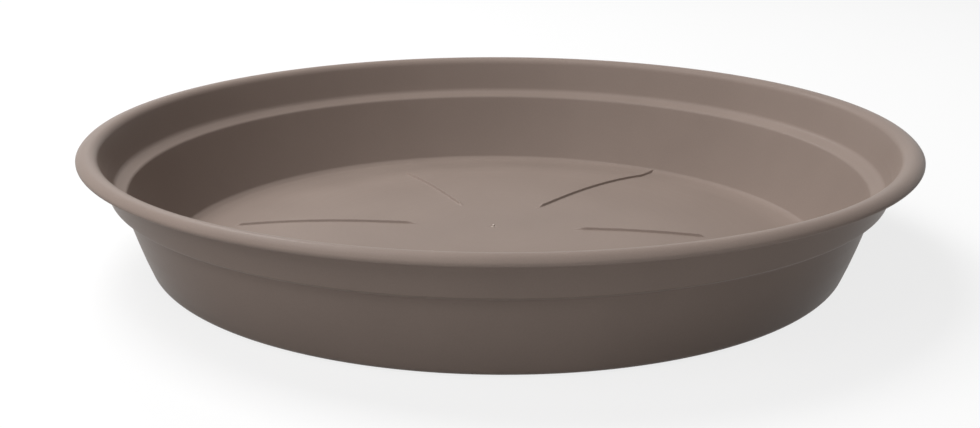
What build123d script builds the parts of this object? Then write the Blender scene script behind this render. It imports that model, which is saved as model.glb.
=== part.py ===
from build123d import *
import os
from math import cos, radians, sin, tan

# Round plant saucer, moulded in one piece. Origin at the middle of the resting plane, +Z up.
# The front, the side seen nearest in the reference view, is at -Y.

# Overall size, in millimetres, and the one wall thickness of the moulding
rim_diameter = 400.0
saucer_height = 59.4
wall_thickness = 2.1

# Rolled rim: three arcs in a row carry the collar over a crest and down to a short edge, which hangs
# free. The rim's width is measured from where the collar's inner face would meet the crest's level
rim_width = 8.9
rim_drop = 3.8
edge_thickness = 1.8
throat_round = 5.0
throat_turn = 48.1
crest_round = 8.0
crest_turn = 24.0
shoulder_turn = 48.0
channel_slope = 25.0

# Collar below the rim, and the step at its foot
collar_height = 20.4
collar_draft = 19.9
step_width = 5.9
step_slope = 27.0
ledge_edge_round = 2.4

# Lower wall, with its slight outward bow
wall_draft = 18.0
wall_bow = 0.6

# Foot of the wall, inside and out: a slant rises from the floor, and a round takes it into the wall
foot_turn = 23.0
cove_lead = 4.2
cove_round = 8.0
base_lead = 3.2
base_round = 5.6

# Floor: the level ring at its edge, on which the dish stands, and the crown inside it. The crown has
# a flat middle and falls to the ring in two slopes, the upper one the gentler
ring_width = 10.0
crown_height = 5.9
crown_top_share = 0.385
crown_bend_share = 0.5
crown_bend_fall_share = 0.28

# Radial ribs, anticlockwise from the one on the right; each reaches its own share of the floor
rib_width = 1.3
rib_height = 1.2
rib_inner_ramp = 6.0
rib_outer_ramp = 3.0
rib_first_angle = -8.5
rib_start_share = 0.233
rib_end_shares = [0.629, 0.96, 0.749, 0.804, 0.804, 0.749]

# Shallow dimple at the middle of the floor, and the stub of the moulding gate that stands in it
dimple_diameter = 4.6
dimple_depth = 0.4
gate_diameter = 1.2
gate_height = 1.3

# Main levels and the slopes of the three walls, as run for each unit of rise
rim_radius = rim_diameter / 2
step_level = saucer_height - collar_height
floor_top_level = wall_thickness + crown_height
collar_flare_share = tan(radians(collar_draft))
wall_flare_share = tan(radians(wall_draft))
step_fall_share = tan(radians(step_slope))


def across(draft):
    """Level width of the wall where it leans outwards by a draft angle."""
    return wall_thickness / cos(radians(draft))


def inside_of(corner, draft):
    """Corner of the inner face, one wall thickness inside a corner where a wall meets the step."""
    lean_share = tan(radians(draft))
    rise = wall_thickness / cos(radians(step_slope))
    inset = (across(draft) - rise * lean_share) / (1 - step_fall_share * lean_share)
    return (corner[0] - inset, corner[1] + rise - inset * step_fall_share)


def slanted(corner, lead_heading, other_heading, lead, lead_turn):
    """The two corners of a slant that cuts a corner off, the first a lead away along one side."""
    other_turn = 180 - abs(other_heading - lead_heading) - lead_turn
    other = lead * sin(radians(lead_turn)) / sin(radians(other_turn))
    first, second = radians(lead_heading), radians(other_heading)
    return (
        (corner[0] + lead * cos(first), corner[1] + lead * sin(first)),
        (corner[0] + other * cos(second), corner[1] + other * sin(second)),
    )


# The roll of the rim: its arcs turn from the collar's lean to level at the crest, and on beyond it
rim_inner_radius = rim_radius - rim_width
throat_tilt = radians(90 - collar_draft)
inner_tilt = radians(90 - collar_draft - throat_turn)
outer_tilt = radians(crest_turn + throat_turn + collar_draft - 90)
shoulder_tilt = radians(shoulder_turn) + outer_tilt
throat_run = crest_round * sin(inner_tilt) + throat_round * (sin(throat_tilt) - sin(inner_tilt))
throat_fall = crest_round * (1 - cos(inner_tilt)) + throat_round * (cos(inner_tilt) - cos(throat_tilt))
throat_foot = (rim_inner_radius - throat_fall * collar_flare_share, saucer_height - throat_fall)
crest_radius = throat_foot[0] + throat_run
shoulder_run = rim_radius - crest_radius - crest_round * sin(outer_tilt)
shoulder_round = shoulder_run / (sin(shoulder_tilt) - sin(outer_tilt))

# Corners of the outer face, from the rim's edge down to the resting plane
edge_outer = (rim_radius, saucer_height - rim_drop)
edge_inner = (rim_radius - edge_thickness, saucer_height - rim_drop)
channel_top = (crest_radius, saucer_height - wall_thickness)
collar_outer_radius = rim_inner_radius + across(collar_draft)
channel_rise_share = tan(radians(channel_slope))
channel_run = crest_radius - collar_outer_radius
collar_depth = (wall_thickness + channel_run * channel_rise_share) / (
    1 - collar_flare_share * channel_rise_share
)
collar_top = (collar_outer_radius - collar_depth * collar_flare_share, saucer_height - collar_depth)
step_edge = (collar_outer_radius - collar_height * collar_flare_share, step_level)
step_root = (step_edge[0] - step_width, step_level - step_width * step_fall_share)
base_corner = (step_root[0] - step_root[1] * wall_flare_share, 0)

# Corners of the inner face, from the step down to the floor
ledge_root = inside_of(step_edge, collar_draft)
ledge_edge = inside_of(step_root, wall_draft)
cove_corner = (base_corner[0] + wall_thickness * wall_flare_share - across(wall_draft), wall_thickness)

# Slants at the foot of the wall; headings turn from outwards (0) to upwards (90)
cove_low, cove_high = slanted(cove_corner, 180, 90 - wall_draft, cove_lead, foot_turn)
base_low, base_high = slanted(base_corner, 180, 90 - wall_draft, base_lead, foot_turn)

# Corners of the crown, as seen on the floor's upper face
crown_foot_radius = base_low[0] - ring_width
crown_top_radius = crown_top_share * crown_foot_radius
crown_run = crown_foot_radius - crown_top_radius
crown_corners = [
    (crown_top_radius, floor_top_level),
    (
        crown_top_radius + crown_bend_share * crown_run,
        floor_top_level - crown_bend_fall_share * crown_height,
    ),
    (crown_foot_radius, wall_thickness),
]


def floor_level(radius):
    """Level of the floor's upper face at a radius."""
    if radius < crown_top_radius:
        return floor_top_level
    for (near, high), (far, low) in zip(crown_corners, crown_corners[1:]):
        if radius < far:
            return high + (low - high) * (radius - near) / (far - near)
    return wall_thickness


def crown_line(offset):
    """One face of the crowned floor, from the axis out to the crown's foot, set off upwards."""
    corners = [(radius, level + offset) for radius, level in crown_corners]
    return Polyline((0, floor_top_level + offset), *corners)


def wall_line(upper, lower):
    """One face of the lower wall, bowed outwards between two corners."""
    middle = ((upper[0] + lower[0]) / 2 + wall_bow, (upper[1] + lower[1]) / 2)
    ThreePointArc(upper, middle, lower)


def rib_plane(angle):
    """Upright plane through the axis, its first direction pointing outwards at an angle."""
    outwards = Vector(1, 0, 0).rotate(Axis.Z, angle)
    return Plane(origin=(0, 0, 0), x_dir=outwards, z_dir=Vector(0, -1, 0).rotate(Axis.Z, angle))


def rib_line(inner, outer, offset):
    """Line that follows the floor between two radii, set off from it upwards."""
    corners = [radius for radius, level in crown_corners if inner < radius < outer]
    return Polyline(*[(radius, floor_level(radius) + offset) for radius in [inner, *corners, outer]])


with BuildPart() as saucer:
    # The whole dish is one section turned about the axis
    with BuildSketch(Plane.XZ) as section:
        with BuildLine():
            upper = crown_line(0)
            Polyline(upper @ 1, cove_low, cove_high)
            wall_line(ledge_edge, cove_high)
            collar = Polyline(ledge_edge, ledge_root, throat_foot)
            throat = JernArc(throat_foot, collar % 1, throat_round, -throat_turn)
            crest = JernArc(throat @ 1, throat % 1, crest_round, -crest_turn)
            shoulder = JernArc(crest @ 1, crest % 1, shoulder_round, -shoulder_turn)
            Polyline(shoulder @ 1, edge_outer, edge_inner, channel_top, collar_top, step_edge, step_root)
            wall_line(step_root, base_high)
            under = crown_line(-wall_thickness)
            Polyline(base_high, base_low, under @ 1)
            Line(upper @ 0, under @ 0)
        make_face()
        corner_rounds = [
            (ledge_edge, ledge_edge_round),
            (cove_high, cove_round),
            (base_high, base_round),
        ]
        for corner, radius in corner_rounds:
            fillet(section.vertices().sort_by_distance(corner)[0], radius=radius)
    revolve(axis=Axis.Z)

    # Six radial ribs stand on the crowned floor and run down to it at both ends
    rib_start = rib_start_share * cove_corner[0]
    for index, end_share in enumerate(rib_end_shares):
        rib_end = end_share * cove_corner[0]
        turn = rib_first_angle + index * 360 / len(rib_end_shares)
        with BuildSketch(rib_plane(turn)):
            with BuildLine():
                crest = rib_line(rib_start + rib_inner_ramp, rib_end - rib_outer_ramp, rib_height)
                root = rib_line(rib_start, rib_end, -wall_thickness / 2)
                Polyline(crest @ 0, (rib_start, floor_level(rib_start)), root @ 0)
                Polyline(crest @ 1, (rib_end, floor_level(rib_end)), root @ 1)
            make_face()
        extrude(amount=rib_width / 2, both=True)

    # The dimple at the middle is a shallow cap of a sphere
    dimple_radius = (dimple_diameter**2 / 4 + dimple_depth**2) / (2 * dimple_depth)
    with Locations((0, 0, floor_top_level - dimple_depth + dimple_radius)):
        Sphere(dimple_radius, mode=Mode.SUBTRACT)

    # The gate's stub stands on the dimple's lowest point
    with BuildSketch(Plane.XY.offset(floor_top_level - dimple_depth)):
        Circle(gate_diameter / 2)
    extrude(amount=gate_height)

saucer.part.label = "saucer"

os.makedirs("parts", exist_ok=True)
export_step(saucer.part, "parts/saucer.step")
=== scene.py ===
import bpy
from math import asin, atan, atan2, cos, pi, radians, sin, sqrt, tan
from mathutils import Matrix, Vector


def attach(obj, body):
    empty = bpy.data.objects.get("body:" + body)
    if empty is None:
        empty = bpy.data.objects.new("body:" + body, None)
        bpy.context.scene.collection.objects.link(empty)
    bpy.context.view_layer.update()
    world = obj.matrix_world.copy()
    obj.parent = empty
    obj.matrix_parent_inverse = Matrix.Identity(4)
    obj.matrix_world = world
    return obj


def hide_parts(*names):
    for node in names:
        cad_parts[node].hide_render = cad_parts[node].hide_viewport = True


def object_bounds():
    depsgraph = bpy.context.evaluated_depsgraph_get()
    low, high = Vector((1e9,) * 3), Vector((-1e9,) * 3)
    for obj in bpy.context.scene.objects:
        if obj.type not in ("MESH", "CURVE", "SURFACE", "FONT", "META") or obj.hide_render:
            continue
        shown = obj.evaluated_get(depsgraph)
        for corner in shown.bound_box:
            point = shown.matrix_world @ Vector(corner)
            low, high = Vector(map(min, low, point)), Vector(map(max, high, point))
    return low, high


# The looks of a round plant saucer, moulded in one piece of taupe plastic.
# Everything is in metres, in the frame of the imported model: +Z up, the side seen nearest at -Y.

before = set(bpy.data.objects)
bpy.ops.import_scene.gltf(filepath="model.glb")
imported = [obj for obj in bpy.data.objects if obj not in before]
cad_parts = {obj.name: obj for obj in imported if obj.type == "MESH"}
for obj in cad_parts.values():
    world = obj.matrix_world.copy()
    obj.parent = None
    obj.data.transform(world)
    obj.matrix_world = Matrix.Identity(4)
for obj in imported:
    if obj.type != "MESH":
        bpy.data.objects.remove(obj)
cad_low, cad_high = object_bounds()
scene = bpy.context.scene

# Overall size, read from the frame, and the wall of the moulding
RIM_RADIUS = (cad_high.x - cad_low.x) / 2
HEIGHT = cad_high.z - cad_low.z
WALL = 0.0021

# Rolled rim: arcs carry the collar over a crest and down to a short edge
RIM_WIDTH = 0.0089
RIM_DROP = 0.0038
EDGE_WALL = 0.0018
EDGE_ROUND = 0.0007
THROAT_ROUND = 0.0050
THROAT_TURN = radians(46)
CREST_ROUND = 0.0065
SHOULDER_TILT = radians(58)
CHANNEL_SLOPE = radians(25)
CHANNEL_ROUND = 0.0025

# Collar, step and lower wall; the wall's bow starts clear of the rounds at its foot
COLLAR_HEIGHT = 0.0204
COLLAR_DRAFT = radians(19.9)
STEP_WIDTH = 0.0059
STEP_SLOPE = radians(27)
STEP_EDGE_ROUND = 0.0014
STEP_ROOT_ROUND = 0.0025
LEDGE_ROOT_ROUND = 0.0040
LEDGE_EDGE_ROUND = 0.0024
WALL_DRAFT = radians(18)
WALL_BOW = 0.0006
BOW_START_SHARE = 0.3
BOW_PIECES = 8

# The foot of the wall turns by two arcs in a row, inside and out
SLANT_TURN = radians(24)
COVE_LEAD = 0.0024
COVE_LOW_ROUND = 0.0065
COVE_HIGH_ROUND = 0.0024
BASE_LEAD = 0.0032
BASE_LOW_ROUND = 0.0060
BASE_HIGH_ROUND = 0.0050

# Floor: the level of its upper face at the edge, how far the wall's inner foot stands in there, and
# the radius of the crown's foot, where the level ring that the dish stands on begins
FLOOR_EDGE_LEVEL = 0.0011
FOOT_INSET = 0.0035
CROWN_FOOT = 0.1552
CROWN_HEIGHT = 0.0059
CROWN_TOP_SHARE = 0.385
CROWN_CONVEX_SHARE = 0.9

# Radial ribs, anticlockwise from the one on the right: each has its own start and end, and the mesh
# is finer in a zone on both sides of its middle line
RIB_WIDTH = 0.0013
RIB_HEIGHT = 0.0012
RIB_ZONE = 0.0015
RIB_INNER_RAMP = 0.0060
RIB_OUTER_RAMP = 0.0030
RIB_STARTS = [0.0405, 0.0390, 0.0390, 0.0390, 0.0480, 0.0460]
RIB_FIRST_ANGLE = radians(-8.5)
RIB_ENDS = [0.1050, 0.1640, 0.1250, 0.1342, 0.1342, 0.1250]
RIB_END_CLEARANCE = 0.0005

# The dimple in the middle and the stub of the moulding gate that stands in it
DIMPLE_RADIUS = 0.0024
DIMPLE_DEPTH = 0.0004
GATE_RADIUS = 0.0006
GATE_HEIGHT = 0.0013

# Fineness of the mesh; near the axis, a rib's zone takes no more than an angle on each side
ARC_STEP = radians(7)
ARC_PIECES_MIN = 3
GATE_RING_STEP = GATE_RADIUS / 4
GATE_RINGS_END = DIMPLE_RADIUS * 1.2
FLOOR_RING_STEP = 0.0013
WALL_RING_STEP = 0.0040
RIB_COLUMNS = 14
PANEL_COLUMNS = 42
RIB_ZONE_ANGLE = radians(14)


def across(draft):
    """Level width of the wall where it leans outwards by a draft angle."""
    return WALL / cos(draft)


def inside_of(corner, draft):
    """Corner of the inner face, one wall inside a corner where a wall meets the step."""
    rise = WALL / cos(STEP_SLOPE)
    inset = (across(draft) - rise * tan(draft)) / (1 - tan(STEP_SLOPE) * tan(draft))
    return (corner[0] - inset, corner[1] + rise - inset * tan(STEP_SLOPE))


# Corners of the outer face, from the rim down to the resting plane
collar_outer_radius = RIM_RADIUS - RIM_WIDTH + across(COLLAR_DRAFT)
step_edge = (collar_outer_radius - COLLAR_HEIGHT * tan(COLLAR_DRAFT), HEIGHT - COLLAR_HEIGHT)
step_root = (step_edge[0] - STEP_WIDTH, step_edge[1] - STEP_WIDTH * tan(STEP_SLOPE))
base_radius = step_root[0] - step_root[1] * tan(WALL_DRAFT)

# Corners of the inner face and the levels of the floor
ledge_root = inside_of(step_edge, COLLAR_DRAFT)
ledge_edge = inside_of(step_root, WALL_DRAFT)
floor_level = WALL + CROWN_HEIGHT
floor_radius = base_radius + FLOOR_EDGE_LEVEL * tan(WALL_DRAFT) - across(WALL_DRAFT) - FOOT_INSET
inner_draft = atan((ledge_edge[0] - floor_radius) / (ledge_edge[1] - FLOOR_EDGE_LEVEL))

# The radius that every rib ends inside
ribs_end = max(RIB_ENDS) + RIB_END_CLEARANCE
rib_pitch = 2 * pi / len(RIB_ENDS)

# The crown falls from its flat top in a convex arc and runs out in a concave one
crown_top = CROWN_TOP_SHARE * CROWN_FOOT
underside_rings_end = crown_top / 4
crown_run = CROWN_FOOT - crown_top
crown_angle = 2 * atan(CROWN_HEIGHT / crown_run)
convex_radius = CROWN_CONVEX_SHARE * crown_run / sin(crown_angle)
runout_radius = (1 - CROWN_CONVEX_SHARE) * crown_run / sin(crown_angle)


def crown_rise(radius):
    """Height of the crown above the level ring at a radius."""
    if radius < crown_top:
        return CROWN_HEIGHT
    if radius < crown_top + CROWN_CONVEX_SHARE * crown_run:
        return CROWN_HEIGHT - convex_radius + sqrt(convex_radius**2 - (radius - crown_top) ** 2)
    if radius < CROWN_FOOT:
        return runout_radius - sqrt(runout_radius**2 - (CROWN_FOOT - radius) ** 2)
    return 0.0


def floor_rise(radius):
    """Level of the floor's upper face at a radius."""
    return FLOOR_EDGE_LEVEL + crown_rise(radius) * (floor_level - FLOOR_EDGE_LEVEL) / CROWN_HEIGHT


def smooth(share):
    """Eases from 0 to 1 with no kink at either end."""
    share = min(max(share, 0.0), 1.0)
    return share * share * (3 - 2 * share)


def rib_rise(radius, offset, start, end):
    """Height of a rib over the floor at a radius and a distance from its middle line."""
    along = min(smooth((radius - start) / RIB_INNER_RAMP), smooth((end - radius) / RIB_OUTER_RAMP))
    edge = (abs(offset) - RIB_WIDTH / 2) / (RIB_ZONE - RIB_WIDTH / 2)
    return RIB_HEIGHT * along * (1 - smooth(0.5 + edge))


def gate_rise(radius):
    """Height over the floor of the dimple in the middle and of the gate's stub in it."""
    stub = GATE_HEIGHT * (1 - smooth((radius - GATE_RADIUS / 2) / GATE_RADIUS))
    return stub - DIMPLE_DEPTH * (1 - smooth(radius / DIMPLE_RADIUS))


def evenly(first, last, step):
    """Places from first up to but without last, no further apart than a step."""
    count = max(1, round(abs(last - first) / step))
    return [first + (last - first) * i / count for i in range(count)]


def slanted(corner, lead_heading, other_heading, lead):
    """The two corners of a slant that cuts a corner off, the first a lead away along one side."""
    other_turn = pi - abs(other_heading - lead_heading) - SLANT_TURN
    other = lead * sin(SLANT_TURN) / sin(other_turn)
    return [
        (corner[0] + run * cos(heading), corner[1] + run * sin(heading))
        for run, heading in [(lead, lead_heading), (other, other_heading)]
    ]


def rounded(before, corner, after, radius):
    """Points of the arc that rounds the corner of an outline."""
    place = Vector(corner)
    toward = (Vector(before) - place).normalized()
    onward = (Vector(after) - place).normalized()
    half = toward.angle(onward) / 2
    centre = place + (toward + onward).normalized() * (radius / sin(half))
    start = place + toward * (radius / tan(half)) - centre
    end = place + onward * (radius / tan(half)) - centre
    first = atan2(start.y, start.x)
    turn = (atan2(end.y, end.x) - first + pi) % (2 * pi) - pi
    count = max(ARC_PIECES_MIN, round(abs(turn) / ARC_STEP))
    angles = [first + turn * i / count for i in range(count + 1)]
    return [(centre.x + radius * cos(a), centre.y + radius * sin(a)) for a in angles]


def bowed(first, last, clear):
    """Points of the lower wall's outward bow, from a share of its height to just below its top."""
    return [
        (
            first[0] + (last[0] - first[0]) * t + WALL_BOW * 4 * t * (1 - t),
            first[1] + (last[1] - first[1]) * t,
        )
        for t in [clear + (1 - clear) * i / BOW_PIECES for i in range(BOW_PIECES)]
    ]


def arc(start, tilt, end_tilt, radius):
    """Points of a convex arc of the rim, without its start, between two tilts of its surface."""
    count = max(ARC_PIECES_MIN, round(abs(tilt - end_tilt) / ARC_STEP))
    tilts = [tilt + (end_tilt - tilt) * i / count for i in range(1, count + 1)]
    centre = (start[0] + radius * sin(tilt), start[1] - radius * cos(tilt))
    return [(centre[0] - radius * sin(t), centre[1] + radius * cos(t)) for t in tilts]


def rim_roll():
    """Points of the rim's roll from the collar to its free edge, and the radius of its crest."""
    low = pi / 2 - COLLAR_DRAFT
    high = low - THROAT_TURN
    fall = CREST_ROUND * (1 - cos(high)) + THROAT_ROUND * (cos(high) - cos(low))
    foot = (RIM_RADIUS - RIM_WIDTH - fall * tan(COLLAR_DRAFT), HEIGHT - fall)
    points = [foot] + arc(foot, low, high, THROAT_ROUND)
    points += arc(points[-1], high, 0, CREST_ROUND)
    shoulder_round = (RIM_RADIUS - points[-1][0]) / sin(SHOULDER_TILT)
    return points + arc(points[-1], 0, -SHOULDER_TILT, shoulder_round), points[-1][0]


def section():
    """Points of the section from the floor's edge over the rim to the foot, as radius and level."""
    roll, crest_radius = rim_roll()
    edge_level = HEIGHT - RIM_DROP
    edge_inside = RIM_RADIUS - EDGE_WALL
    rise = tan(CHANNEL_SLOPE)
    depth = (WALL + (crest_radius - collar_outer_radius) * rise) / (1 - rise * tan(COLLAR_DRAFT))
    collar_top = (collar_outer_radius - depth * tan(COLLAR_DRAFT), HEIGHT - depth)
    wall_heading = pi / 2 - WALL_DRAFT
    cove_corner = (floor_radius, FLOOR_EDGE_LEVEL)
    cove_low, cove_high = slanted(cove_corner, pi, pi / 2 - inner_draft, COVE_LEAD)
    base_low, base_high = slanted((base_radius, 0), pi, wall_heading, BASE_LEAD)
    inner_wall = bowed(cove_corner, ledge_edge, BOW_START_SHARE)
    outer_wall = bowed((base_radius, 0), step_root, BOW_START_SHARE)[::-1]
    corners = [(cove_low, COVE_LOW_ROUND), (cove_high, COVE_HIGH_ROUND)]
    corners += [(point, 0) for point in inner_wall]
    corners += [(ledge_edge, LEDGE_EDGE_ROUND), (ledge_root, LEDGE_ROOT_ROUND)]
    corners += [(point, 0) for point in roll]
    corners += [
        ((RIM_RADIUS, edge_level), EDGE_ROUND),
        ((edge_inside, edge_level), EDGE_ROUND / 2),
        ((crest_radius, HEIGHT - WALL), CHANNEL_ROUND),
        (collar_top, CHANNEL_ROUND),
        (step_edge, STEP_EDGE_ROUND),
        (step_root, STEP_ROOT_ROUND),
    ]
    corners += [(point, 0) for point in outer_wall]
    corners += [(base_high, BASE_HIGH_ROUND), (base_low, BASE_LOW_ROUND)]
    places = [(CROWN_FOOT, FLOOR_EDGE_LEVEL)] + [place for place, _ in corners]
    places.append((CROWN_FOOT, 0))
    outline = []
    for index, (place, radius) in enumerate(corners):
        if radius:
            outline += rounded(places[index], place, places[index + 2], radius)
        else:
            outline.append(place)
    return outline + [(CROWN_FOOT, 0)]


def filled(outline):
    """An outline with points added so that no stretch is longer than a ring step."""
    points = []
    for (r0, z0), (r1, z1) in zip(outline, outline[1:]):
        stretch = sqrt((r1 - r0) ** 2 + (z1 - z0) ** 2)
        for t in evenly(0, 1, WALL_RING_STEP / stretch):
            points.append((r0 + (r1 - r0) * t, z0 + (z1 - z0) * t))
    return points + [outline[-1]]


def floor_radii(edge):
    """Radii of the rings over the floor, from the gate's stub to the edge where the cove begins."""
    ribbed_start = min(RIB_STARTS) - FLOOR_RING_STEP
    radii = evenly(GATE_RING_STEP, GATE_RINGS_END, GATE_RING_STEP)
    radii += evenly(GATE_RINGS_END, ribbed_start, WALL_RING_STEP)
    radii += evenly(ribbed_start, edge, FLOOR_RING_STEP)
    return radii


def column_angles(radius):
    """Angles of the mesh columns at a radius, each with the rib that it crosses or None."""
    zone = asin(min(RIB_ZONE / radius, sin(RIB_ZONE_ANGLE)))
    gap = rib_pitch - 2 * zone
    columns = []
    for rib in range(len(RIB_ENDS)):
        middle = RIB_FIRST_ANGLE + rib * rib_pitch
        columns += [(middle + zone * (2 * i / RIB_COLUMNS - 1), rib) for i in range(RIB_COLUMNS)]
        columns += [(middle + zone + gap * i / PANEL_COLUMNS, None) for i in range(PANEL_COLUMNS)]
        columns[-PANEL_COLUMNS] = (middle + zone, rib)
    return columns


def dish_mesh():
    """The whole dish as one closed mesh of rings and columns. Only its upper face bears ribs."""
    outline = section()
    under_radii = evenly(CROWN_FOOT, underside_rings_end, WALL_RING_STEP)[1:]
    rings = [(r, floor_rise(r) + gate_rise(r), True) for r in floor_radii(outline[0][0])]
    for radius, level in filled(outline):
        rings.append((radius, level, radius < ribs_end and level > FLOOR_EDGE_LEVEL / 2))
    rings += [(r, crown_rise(r), False) for r in under_radii]
    verts, faces = [], []
    for radius, level, ribbed in rings:
        for angle, rib in column_angles(min(radius, ribs_end)):
            rise = 0.0
            if ribbed and rib is not None:
                offset = radius * sin(angle - RIB_FIRST_ANGLE - rib * rib_pitch)
                rise = rib_rise(radius, offset, RIB_STARTS[rib], RIB_ENDS[rib])
            verts.append((radius * cos(angle), radius * sin(angle), level + rise))
    count = len(column_angles(ribs_end))
    for ring in range(len(rings) - 1):
        a, b = ring * count, (ring + 1) * count
        for i in range(count):
            j = (i + 1) % count
            faces.append((a + i, b + i, b + j, a + j))
    verts.append((0, 0, floor_level + gate_rise(0)))
    verts.append((0, 0, CROWN_HEIGHT))
    last = (len(rings) - 1) * count
    for i in range(count):
        j = (i + 1) % count
        faces.append((len(verts) - 2, i, j))
        faces.append((len(verts) - 1, last + j, last + i))
    mesh = bpy.data.meshes.new("moulded_dish")
    mesh.from_pydata(verts, [], faces)
    mesh.shade_smooth()
    return mesh


# Colours, in linear light: the plastic drifts between two near tones of taupe
PLASTIC_DARK = (0.273, 0.216, 0.187)
PLASTIC_PALE = (0.299, 0.237, 0.205)
# Pale tone of the painted highlight on the gate's stub, standing in for the glint of light on it
GATE_HIGHLIGHT_TONE = (0.62, 0.54, 0.48)

# Structure of the plastic's surface: scales in cycles for each metre with their octaves of detail,
# and the limits between which most of a noise's values lie
CLOUD_SCALE, CLOUD_DETAIL = 22, 3
GRAIN_SCALE, GRAIN_DETAIL = 1400, 1
TURNING_SCALE, TURNING_DETAIL = 420, 2
NOISE_LOW = 0.3
NOISE_HIGH = 0.7

# What each noise adds to the step from the dark tone to the pale one, to the relief's height and to
# the roughness; the relief's depth is in metres
CLOUD_TONE = (0, 0.6)
GRAIN_TONE = (0, 0.4)
GRAIN_RELIEF = (0, 0.7)
TURNING_RELIEF = (0, 0.3)
CLOUD_ROUGHNESS = (0.31, 0.37)
TURNING_ROUGHNESS = (0, 0.04)
RELIEF_DEPTH = 0.00002
GLOSS_LEVEL = 0.03

# The stage's floor: the grey that it bounces, and its share of plain white where it is seen
STAGE_BOUNCE_COLOUR = (0.5, 0.5, 0.5)
STAGE_WHITE_SHARE = 0.8


def node_tree(material):
    """An emptied node tree of a material, with its output node."""
    material.use_nodes = True
    tree = material.node_tree
    tree.nodes.clear()
    return tree, tree.nodes.new("ShaderNodeOutputMaterial")


def noise(tree, coordinates, scale, detail):
    """A noise texture's value, with its scale in cycles for each metre."""
    texture = tree.nodes.new("ShaderNodeTexNoise")
    texture.inputs["Scale"].default_value = scale
    texture.inputs["Detail"].default_value = detail
    tree.links.new(coordinates, texture.inputs["Vector"])
    return texture.outputs["Fac"]


def ranged(tree, value, low, high):
    """A noise value spread out between two limits."""
    spread = tree.nodes.new("ShaderNodeMapRange")
    spread.inputs["From Min"].default_value = NOISE_LOW
    spread.inputs["From Max"].default_value = NOISE_HIGH
    spread.inputs["To Min"].default_value = low
    spread.inputs["To Max"].default_value = high
    tree.links.new(value, spread.inputs["Value"])
    return spread.outputs["Result"]


def summed(tree, first, second):
    """Sum of two values."""
    total = tree.nodes.new("ShaderNodeMath")
    tree.links.new(first, total.inputs[0])
    tree.links.new(second, total.inputs[1])
    return total.outputs["Value"]


def turned_coordinates(tree, place):
    """Coordinates of distance from the axis and level, the same all the way round the axis."""
    parts = tree.nodes.new("ShaderNodeSeparateXYZ")
    tree.links.new(place, parts.inputs["Vector"])
    flat = tree.nodes.new("ShaderNodeCombineXYZ")
    tree.links.new(parts.outputs["X"], flat.inputs["X"])
    tree.links.new(parts.outputs["Y"], flat.inputs["Y"])
    distance = tree.nodes.new("ShaderNodeVectorMath")
    distance.operation = "LENGTH"
    tree.links.new(flat.outputs["Vector"], distance.inputs[0])
    turned = tree.nodes.new("ShaderNodeCombineXYZ")
    tree.links.new(distance.outputs["Value"], turned.inputs["X"])
    tree.links.new(parts.outputs["Z"], turned.inputs["Z"])
    return turned.outputs["Vector"]


def moulded_plastic(name, dark, pale, gate_highlight_tone):
    """Moulded plastic: clouded colour, uneven roughness, fine grain, faint turning marks and a
    painted highlight on the gate's stub.
    """
    material = bpy.data.materials.new(name)
    tree, output = node_tree(material)
    nodes, links = tree.nodes, tree.links
    place = nodes.new("ShaderNodeTexCoord").outputs["Object"]
    turned = turned_coordinates(tree, place)
    clouds = noise(tree, place, CLOUD_SCALE, CLOUD_DETAIL)
    grain = noise(tree, place, GRAIN_SCALE, GRAIN_DETAIL)
    turning = noise(tree, turned, TURNING_SCALE, TURNING_DETAIL)

    tone = nodes.new("ShaderNodeMix")
    tone.data_type = "RGBA"
    tone.inputs["A"].default_value = (*dark, 1)
    tone.inputs["B"].default_value = (*pale, 1)
    drift = summed(tree, ranged(tree, clouds, *CLOUD_TONE), ranged(tree, grain, *GRAIN_TONE))
    links.new(drift, tone.inputs["Factor"])

    relief = nodes.new("ShaderNodeBump")
    relief.inputs["Distance"].default_value = RELIEF_DEPTH
    grained = ranged(tree, grain, *GRAIN_RELIEF)
    height = summed(tree, grained, ranged(tree, turning, *TURNING_RELIEF))
    links.new(height, relief.inputs["Height"])

    # A paler tone on the gate's stub near the axis: a painted highlight that stands in for the
    # glint of light on it
    axis_distance = nodes.new("ShaderNodeSeparateXYZ")
    links.new(turned, axis_distance.inputs["Vector"])
    highlight_mask = nodes.new("ShaderNodeMapRange")
    highlight_mask.inputs["From Min"].default_value = GATE_RADIUS * 2
    highlight_mask.inputs["From Max"].default_value = GATE_RADIUS
    links.new(axis_distance.outputs["X"], highlight_mask.inputs["Value"])
    highlighted = nodes.new("ShaderNodeMix")
    highlighted.data_type = "RGBA"
    highlighted.inputs["B"].default_value = (*gate_highlight_tone, 1)
    links.new(highlight_mask.outputs["Result"], highlighted.inputs["Factor"])
    links.new(tone.outputs["Result"], highlighted.inputs["A"])

    shader = nodes.new("ShaderNodeBsdfPrincipled")
    shader.inputs["Specular IOR Level"].default_value = GLOSS_LEVEL
    links.new(highlighted.outputs["Result"], shader.inputs["Base Color"])
    clouded = ranged(tree, clouds, *CLOUD_ROUGHNESS)
    roughness = summed(tree, clouded, ranged(tree, turning, *TURNING_ROUGHNESS))
    links.new(roughness, shader.inputs["Roughness"])
    links.new(relief.outputs["Normal"], shader.inputs["Normal"])
    links.new(shader.outputs["BSDF"], output.inputs["Surface"])
    return material


def seen_directly(tree):
    """A socket that is 1 for the rays that show the surroundings, straight or in gloss or glass."""
    path = tree.nodes.new("ShaderNodeLightPath")
    seen = path.outputs["Is Camera Ray"]
    for name in ["Is Glossy Ray", "Is Transmission Ray"]:
        either = tree.nodes.new("ShaderNodeMath")
        either.operation = "MAXIMUM"
        tree.links.new(seen, either.inputs[0])
        tree.links.new(path.outputs[name], either.inputs[1])
        seen = either.outputs[0]
    return seen


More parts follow.
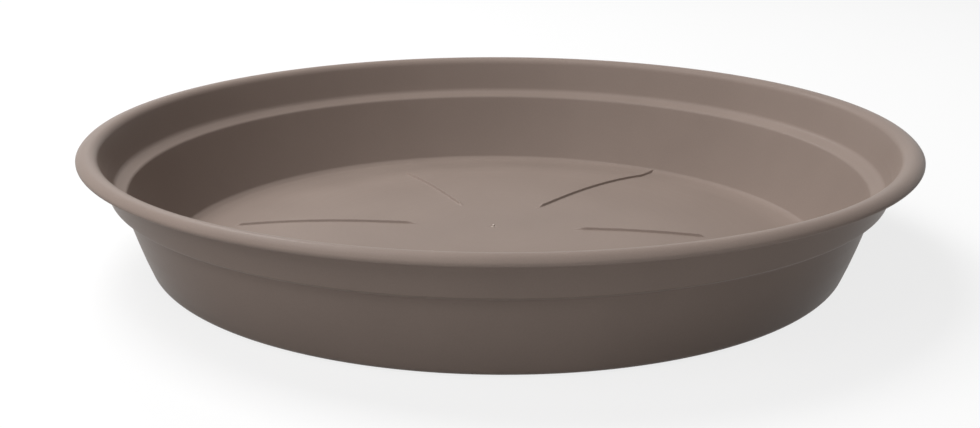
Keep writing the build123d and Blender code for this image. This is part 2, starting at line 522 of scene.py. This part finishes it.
def pale_stage(name, bounce_colour, seen_share):
    """Plain floor that looks nearly white, with a soft shadow, and bounces light as a grey one."""
    material = bpy.data.materials.new(name)
    tree, output = node_tree(material)
    nodes, links = tree.nodes, tree.links
    lit = nodes.new("ShaderNodeBsdfDiffuse")
    lit.inputs["Color"].default_value = (1, 1, 1, 1)
    white = nodes.new("ShaderNodeEmission")
    backdrop = nodes.new("ShaderNodeMixShader")
    backdrop.inputs["Fac"].default_value = seen_share
    links.new(lit.outputs["BSDF"], backdrop.inputs[1])
    links.new(white.outputs["Emission"], backdrop.inputs[2])
    bounce = nodes.new("ShaderNodeBsdfDiffuse")
    bounce.inputs["Color"].default_value = (*bounce_colour, 1)
    either = nodes.new("ShaderNodeMixShader")
    links.new(seen_directly(tree), either.inputs["Fac"])
    links.new(bounce.outputs["BSDF"], either.inputs[1])
    links.new(backdrop.outputs["Shader"], either.inputs[2])
    links.new(either.outputs["Shader"], output.inputs["Surface"])
    return material


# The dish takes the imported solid's place, with finer rounds, softly ended ribs and a lower cove
dish = bpy.data.objects.new("moulded_dish", dish_mesh())
scene.collection.objects.link(dish)
plastic = moulded_plastic("taupe_plastic", PLASTIC_DARK, PLASTIC_PALE, GATE_HIGHLIGHT_TONE)
dish.data.materials.append(plastic)
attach(dish, "root")
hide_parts("saucer")

# Pale floor
FLOOR_HALF_WIDTH = 6.0
floor_mesh = bpy.data.meshes.new("floor")
floor_signs = [(-1, -1), (1, -1), (1, 1), (-1, 1)]
floor_corners = [(x * FLOOR_HALF_WIDTH, y * FLOOR_HALF_WIDTH, 0) for x, y in floor_signs]
floor_mesh.from_pydata(floor_corners, [], [(0, 1, 2, 3)])
floor = bpy.data.objects.new("floor", floor_mesh)
scene.collection.objects.link(floor)
floor.data.materials.append(pale_stage("pale_floor", STAGE_BOUNCE_COLOUR, STAGE_WHITE_SHARE))


# Distance of the softboxes from the dish
LAMP_DISTANCE = 1.7


def softbox(name, azimuth, elevation, width, power):
    """A square softbox aimed at the dish. Azimuth 0 is the viewer's side and 90 the right."""
    data = bpy.data.lights.new(name, "AREA")
    data.size = width
    data.energy = power
    away = Vector((sin(azimuth) * cos(elevation), -cos(azimuth) * cos(elevation), sin(elevation)))
    lamp = bpy.data.objects.new(name, data)
    lamp.location = away * LAMP_DISTANCE
    lamp.rotation_mode = "QUATERNION"
    lamp.rotation_quaternion = (-away).to_track_quat("-Z", "Y")
    scene.collection.objects.link(lamp)


# Lamps, each with its azimuth, elevation, width in metres and power in watts
softbox("key_lamp", radians(240), radians(65), 0.9, 23.6)
softbox("rim_lamp", radians(201), radians(37), 0.4, 6.2)
softbox("left_lamp", radians(315), radians(42), 0.9, 6.9)
softbox("front_lamp", radians(0), radians(42), 0.9, 2.6)
softbox("low_front_lamp", radians(0), radians(8), 0.9, 4.4)

# White surroundings where they are seen directly, and no light from them elsewhere
world = bpy.data.worlds.new("studio")
scene.world = world
world.use_nodes = True
background = world.node_tree.nodes["Background"]
background.inputs["Color"].default_value = (1, 1, 1, 1)
world.node_tree.links.new(seen_directly(world.node_tree), background.inputs["Strength"])

# The photograph is 980 pixels wide; the lens and its middle are given in those pixels
IMAGE_WIDTH_PX = 980
FOCAL_PX = 1292.6
PRINCIPAL_X_PX = 432.2
SENSOR_WIDTH_MM = 36

# Where the camera stands and how it is turned, as solved from the photograph
CAMERA_PLACE = (-0.030846, -0.621906, 0.203712)
CAMERA_RIGHT = (0.9999584, -0.00265308, -0.00872684)
CAMERA_UP = (0.00912121, 0.29085676, 0.95672313)

camera_data = bpy.data.cameras.new("camera")
camera_data.sensor_width = SENSOR_WIDTH_MM
camera_data.lens = FOCAL_PX / IMAGE_WIDTH_PX * SENSOR_WIDTH_MM
camera_data.shift_x = (IMAGE_WIDTH_PX / 2 - PRINCIPAL_X_PX) / IMAGE_WIDTH_PX
camera = bpy.data.objects.new("camera", camera_data)
scene.collection.objects.link(camera)
right, up = Vector(CAMERA_RIGHT), Vector(CAMERA_UP)
axes = Matrix((right, up, right.cross(up))).transposed().to_4x4()
camera.matrix_world = Matrix.Translation(CAMERA_PLACE) @ axes
scene.camera = camera
scene.view_settings.view_transform = "Standard"
